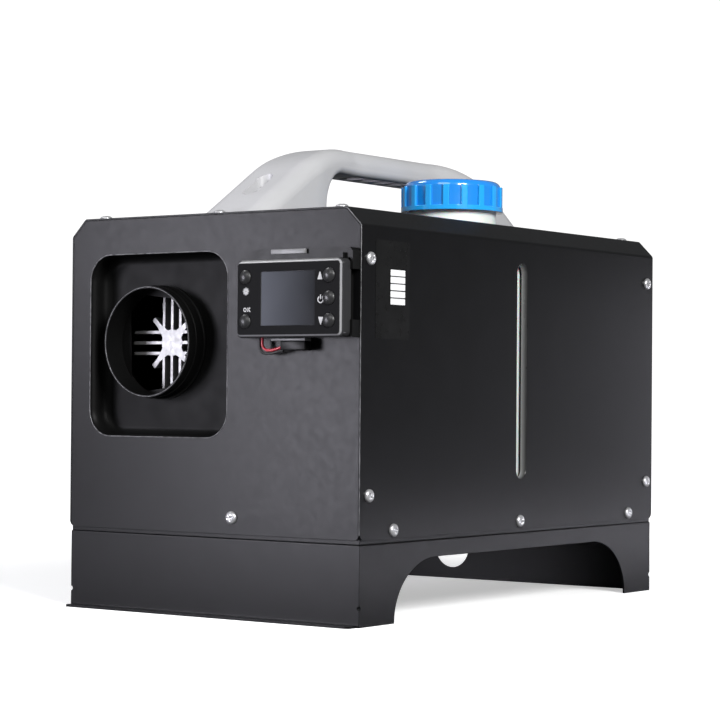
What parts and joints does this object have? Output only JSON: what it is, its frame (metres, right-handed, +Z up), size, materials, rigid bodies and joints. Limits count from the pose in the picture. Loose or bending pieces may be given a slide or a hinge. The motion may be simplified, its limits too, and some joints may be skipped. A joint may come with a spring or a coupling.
{
  "type": "diesel air heater",
  "caption": "Portable diesel air heater: painted steel box on an arched stand, with warm air collar, tank with screw cap, carry handle and controller.",
  "frame": {"origin": "on the floor, under the middle of the whole object's bounding box", "axes": "+X to the right seen from the front, -Y out of the front panel with the warm air collar, +Z up"},
  "size_m": [0.25, 0.4026, 0.318],
  "materials": {
    "black_paint": "satin powder coat",
    "plain_steel": "satin",
    "zinc": "polished",
    "heater_plastic": "satin",
    "holder_plastic": "gloss",
    "case_plastic": "gloss",
    "button_plastic": "satin",
    "lens": "gloss",
    "display": "satin",
    "circuit": "satin",
    "cast_aluminium": "as cast",
    "tank_plastic": "translucent natural",
    "blue_plastic": "gloss",
    "grey_plastic": "satin",
    "latch_plastic": "satin",
    "black_rubber": "matt",
    "red_wire": "satin",
    "brass": "turned",
    "filter_plastic": "clear moulded"
  },
  "bodies": {
    "housing": {"outer_cover": "black_paint", "front_panel": "black_paint", "rear_panel": "black_paint", "base_stand": "black_paint", "bottom_tray": "black_paint", "heater_bracket": "plain_steel", "divider_plate": "plain_steel", "tank_strap": "plain_steel", "burner_tube": "plain_steel", "exhaust_stub": "plain_steel", "fan_motor": "plain_steel", "glow_plug": "plain_steel", "heater_nuts": "plain_steel", "handle_nuts": "plain_steel", "cover_screws": "zinc", "panel_screws": "zinc", "handle_bolts": "zinc", "outlet_hood": "heater_plastic", "outlet_collar": "heater_plastic", "lower_casing": "heater_plastic", "upper_casing": "heater_plastic", "intake_end_cap": "heater_plastic", "rear_grille": "heater_plastic", "combustion_air_stub": "heater_plastic", "controller_holder": "holder_plastic", "controller_back": "holder_plastic", "lead_connector": "holder_plastic", "controller_case": "case_plastic", "display_window": "lens", "display_panel": "display", "controller_board": "circuit", "control_board": "circuit", "heat_exchanger": "cast_aluminium", "combustion_housing": "cast_aluminium", "fuel_pump": "cast_aluminium", "fuel_tank": "tank_plastic", "filler_neck": "tank_plastic", "carry_handle": "grey_plastic", "holder_latches": "latch_plastic", "cable_grommet": "black_rubber", "pump_clamp": "black_rubber", "heater_gasket": "black_rubber", "tank_line": "black_rubber", "pump_line": "black_rubber", "heater_line": "black_rubber", "black_lead": "black_rubber", "red_lead": "red_wire", "pickup_fitting": "brass", "fuel_filter": "filter_plastic"},
    "rotor": {"fan_shaft": "plain_steel", "blower_wheel": "heater_plastic", "combustion_impeller": "heater_plastic"},
    "liner": {"cap_liner": "black_rubber"},
    "cap": {"filler_cap": "blue_plastic"},
    "menu_button": {"menu_button": "button_plastic"},
    "ok_button": {"ok_button": "button_plastic"},
    "up_button": {"up_button": "button_plastic"},
    "power_button": {"power_button": "button_plastic"},
    "down_button": {"down_button": "button_plastic"}
  },
  "joints": [
    {"name": "fan_spin", "type": "hinge", "parent": "housing", "child": "rotor", "pos_m": [-0.0549, 0.04475, 0.1807], "axis": [0, 1, 0], "continuous": true},
    {"name": "liner_lift", "type": "slide", "parent": "housing", "child": "liner", "axis": [0, 0, 1], "range_m": [0, 0.012]},
    {"name": "cap_turn", "type": "hinge", "parent": "liner", "child": "cap", "pos_m": [0.0645, 0.00825, 0.286], "axis": [0, 0, 1], "range_deg": [0, 720]},
    {"name": "menu_button_press", "type": "slide", "parent": "housing", "child": "menu_button", "axis": [0, 1, 0], "range_m": [0, 0.0008], "stiffness_N_per_m": 1200},
    {"name": "ok_button_press", "type": "slide", "parent": "housing", "child": "ok_button", "axis": [0, 1, 0], "range_m": [0, 0.0008], "stiffness_N_per_m": 1200},
    {"name": "up_button_press", "type": "slide", "parent": "housing", "child": "up_button", "axis": [0, 1, 0], "range_m": [0, 0.0008], "stiffness_N_per_m": 1200},
    {"name": "power_button_press", "type": "slide", "parent": "housing", "child": "power_button", "axis": [0, 1, 0], "range_m": [0, 0.0008], "stiffness_N_per_m": 1200},
    {"name": "down_button_press", "type": "slide", "parent": "housing", "child": "down_button", "axis": [0, 1, 0], "range_m": [0, 0.0008], "stiffness_N_per_m": 1200}
  ],
  "couplings": [
    {"joint": "liner_lift", "follows": "cap_turn", "m_per_rad": 0.000954}
  ]
}
